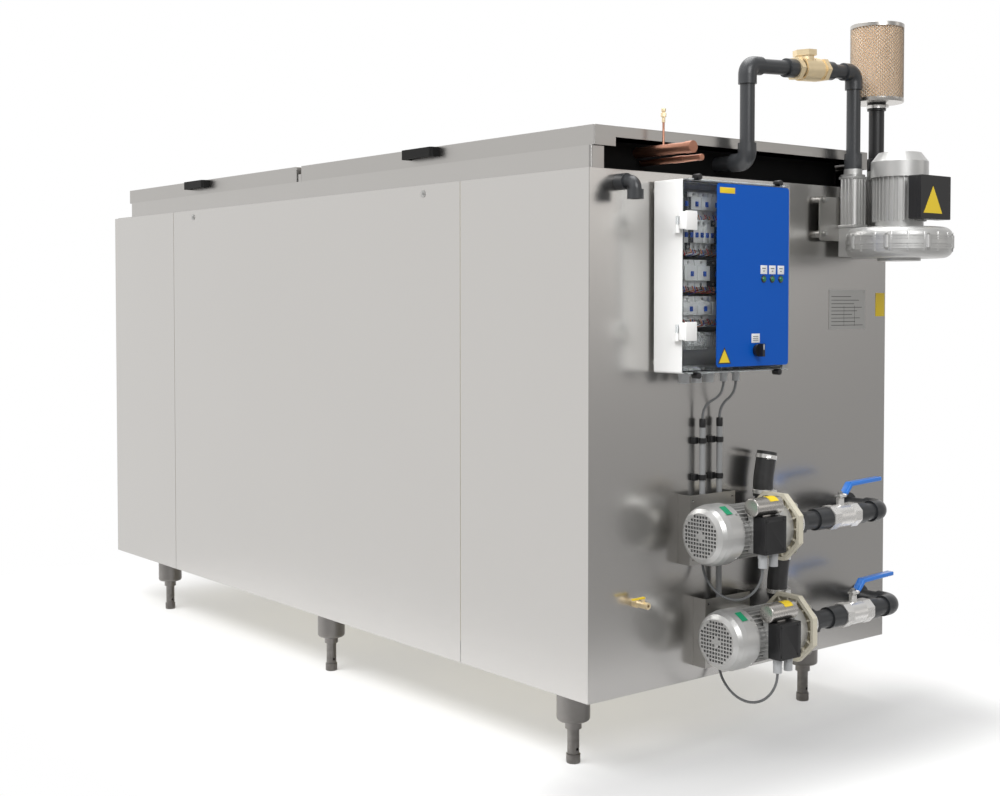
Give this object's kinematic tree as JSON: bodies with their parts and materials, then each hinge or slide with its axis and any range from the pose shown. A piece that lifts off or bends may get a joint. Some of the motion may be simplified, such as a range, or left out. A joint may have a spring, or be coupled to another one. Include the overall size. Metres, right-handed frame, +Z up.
{
  "type": "bulk milk tank ice water cooler",
  "caption": "Long insulated stainless steel tank on adjustable feet with hinged lids, ice coils inside, and a control cabinet, pumps, valves and air blower on one end.",
  "frame": {"origin": "middle of the whole machine's footprint, on the floor", "axes": "+X along the tank towards the equipment end, +Y towards the rear (hinge) side, +Z up"},
  "size_m": [3.185, 1.23, 2.02],
  "materials": {
    "clad_front": "satin",
    "clad_end": "satin",
    "tank_steel": "satin",
    "lid_steel": "satin",
    "trim_steel": "satin",
    "foot_steel": "satin",
    "foam": "matte",
    "black_rubber": "matte",
    "coil_metal": "satin",
    "copper": "satin",
    "pvc": "satin",
    "grey_plastic": "satin",
    "brass": "satin",
    "cast_alloy": "satin",
    "rotor_steel": "satin",
    "box_black": "satin",
    "cabinet_plastic": "satin",
    "cabinet_window": "gloss",
    "label_blue": "satin",
    "knob_black": "satin",
    "device_grey": "satin",
    "cream_plastic": "satin",
    "casing_dark": "satin",
    "valve_steel": "satin",
    "lever_blue": "satin",
    "tap_yellow": "satin",
    "filter_paper": "matte"
  },
  "bodies": {
    "tank": {"front_panel": "clad_front", "rear_panel": "clad_front", "plain_end_panel": "clad_front", "equipment_end_panel": "clad_end", "liner": "tank_steel", "base_frame": "tank_steel", "rim": "tank_steel", "lid_cross_beam": "tank_steel", "lid_hinges": "trim_steel", "panel_fixings": "trim_steel", "wall_brackets": "trim_steel", "insulation": "foam", "slot_curtain": "black_rubber", "discharge_hoses": "black_rubber", "cabinet_cable_1": "black_rubber", "cabinet_cable_2": "black_rubber", "pump_cable_upper": "black_rubber", "pump_cable_lower": "black_rubber", "evaporator_coils": "coil_metal", "coil_rack": "coil_metal", "copper_pipes": "copper", "air_pipes": "pvc", "overflow_elbow": "pvc", "suction_lines": "pvc", "air_grid": "grey_plastic", "cable_glands": "grey_plastic", "check_valve_body": "brass", "level_tap": "brass", "blower_housing": "cast_alloy", "blower_motor": "cast_alloy", "fan_covers": "cast_alloy", "pump_motors": "cast_alloy", "terminal_boxes": "box_black", "conduits": "box_black", "cabinet_box": "cabinet_plastic", "cabinet_devices": "device_grey", "motor_adapters": "cream_plastic", "pump_casings": "casing_dark", "valve_bodies": "valve_steel", "air_filter": "filter_paper"},
    "lid_right": {"lid_right": "lid_steel", "lid_right_handle": "trim_steel"},
    "lid_left": {"lid_left": "lid_steel", "lid_left_handle": "trim_steel"},
    "cabinet_door": {"cabinet_door": "cabinet_window", "door_fittings": "label_blue"},
    "switch_knob": {"switch_knob": "knob_black"},
    "pump_rotor_upper": {"pump_rotor_upper": "rotor_steel"},
    "pump_rotor_lower": {"pump_rotor_lower": "rotor_steel"},
    "blower_rotor": {"blower_rotor": "cast_alloy"},
    "valve_lever_upper": {"valve_lever_upper": "lever_blue"},
    "valve_lever_lower": {"valve_lever_lower": "lever_blue"},
    "tap_lever": {"tap_lever": "tap_yellow"},
    "check_valve_flap": {"check_valve_flap": "brass"},
    "foot_1": {"foot_spindle_1": "foot_steel"},
    "foot_2": {"foot_spindle_2": "foot_steel"},
    "foot_3": {"foot_spindle_3": "foot_steel"},
    "foot_4": {"foot_spindle_4": "foot_steel"},
    "foot_5": {"foot_spindle_5": "foot_steel"},
    "foot_6": {"foot_spindle_6": "foot_steel"}
  },
  "joints": [
    {"name": "lid_right_hinge", "type": "hinge", "parent": "tank", "child": "lid_right", "pos_m": [0.5695, 0.523, 1.6134], "axis": [-1, 0, 0], "range_deg": [0, 48]},
    {"name": "lid_left_hinge", "type": "hinge", "parent": "tank", "child": "lid_left", "pos_m": [-0.8305, 0.523, 1.6134], "axis": [-1, 0, 0], "range_deg": [0, 80]},
    {"name": "cabinet_door_hinge", "type": "hinge", "parent": "tank", "child": "cabinet_door", "pos_m": [1.3715, -0.384, 1.276], "axis": [0, 0, 1], "range_deg": [-110, 0]},
    {"name": "switch_turn", "type": "hinge", "parent": "cabinet_door", "child": "switch_knob", "pos_m": [1.3895, -0.118, 1.084], "axis": [1, 0, 0], "range_deg": [0, 90]},
    {"name": "pump_upper_spin", "type": "hinge", "parent": "tank", "child": "pump_rotor_upper", "pos_m": [1.3925, -0.165, 0.61], "axis": [0, 1, 0], "continuous": true},
    {"name": "pump_lower_spin", "type": "hinge", "parent": "tank", "child": "pump_rotor_lower", "pos_m": [1.3925, -0.104, 0.328], "axis": [0, 1, 0], "continuous": true},
    {"name": "blower_spin", "type": "hinge", "parent": "tank", "child": "blower_rotor", "pos_m": [1.4435, 0.439, 1.48], "axis": [0, 0, 1], "continuous": true},
    {"name": "valve_upper_turn", "type": "hinge", "parent": "tank", "child": "valve_lever_upper", "pos_m": [1.3925, 0.2475, 0.61], "axis": [0, 0, 1], "range_deg": [-90, 0]},
    {"name": "valve_lower_turn", "type": "hinge", "parent": "tank", "child": "valve_lever_lower", "pos_m": [1.3925, 0.3085, 0.328], "axis": [0, 0, 1], "range_deg": [-90, 0]},
    {"name": "tap_turn", "type": "hinge", "parent": "tank", "child": "tap_lever", "pos_m": [1.3015, -0.435, 0.45], "axis": [0, 0, 1], "range_deg": [0, 90]},
    {"name": "check_flap_swing", "type": "hinge", "parent": "tank", "child": "check_valve_flap", "pos_m": [1.3225, 0.18479, 1.88362], "axis": [1, 0, 0], "range_deg": [-50, 0]},
    {"name": "foot_1_screw", "type": "slide", "parent": "tank", "child": "foot_1", "axis": [0, 0, 1], "range_m": [-0.04, 0]},
    {"name": "foot_2_screw", "type": "slide", "parent": "tank", "child": "foot_2", "axis": [0, 0, 1], "range_m": [-0.04, 0]},
    {"name": "foot_3_screw", "type": "slide", "parent": "tank", "child": "foot_3", "axis": [0, 0, 1], "range_m": [-0.04, 0]},
    {"name": "foot_4_screw", "type": "slide", "parent": "tank", "child": "foot_4", "axis": [0, 0, 1], "range_m": [-0.04, 0]},
    {"name": "foot_5_screw", "type": "slide", "parent": "tank", "child": "foot_5", "axis": [0, 0, 1], "range_m": [-0.04, 0]},
    {"name": "foot_6_screw", "type": "slide", "parent": "tank", "child": "foot_6", "axis": [0, 0, 1], "range_m": [-0.04, 0]}
  ]
}
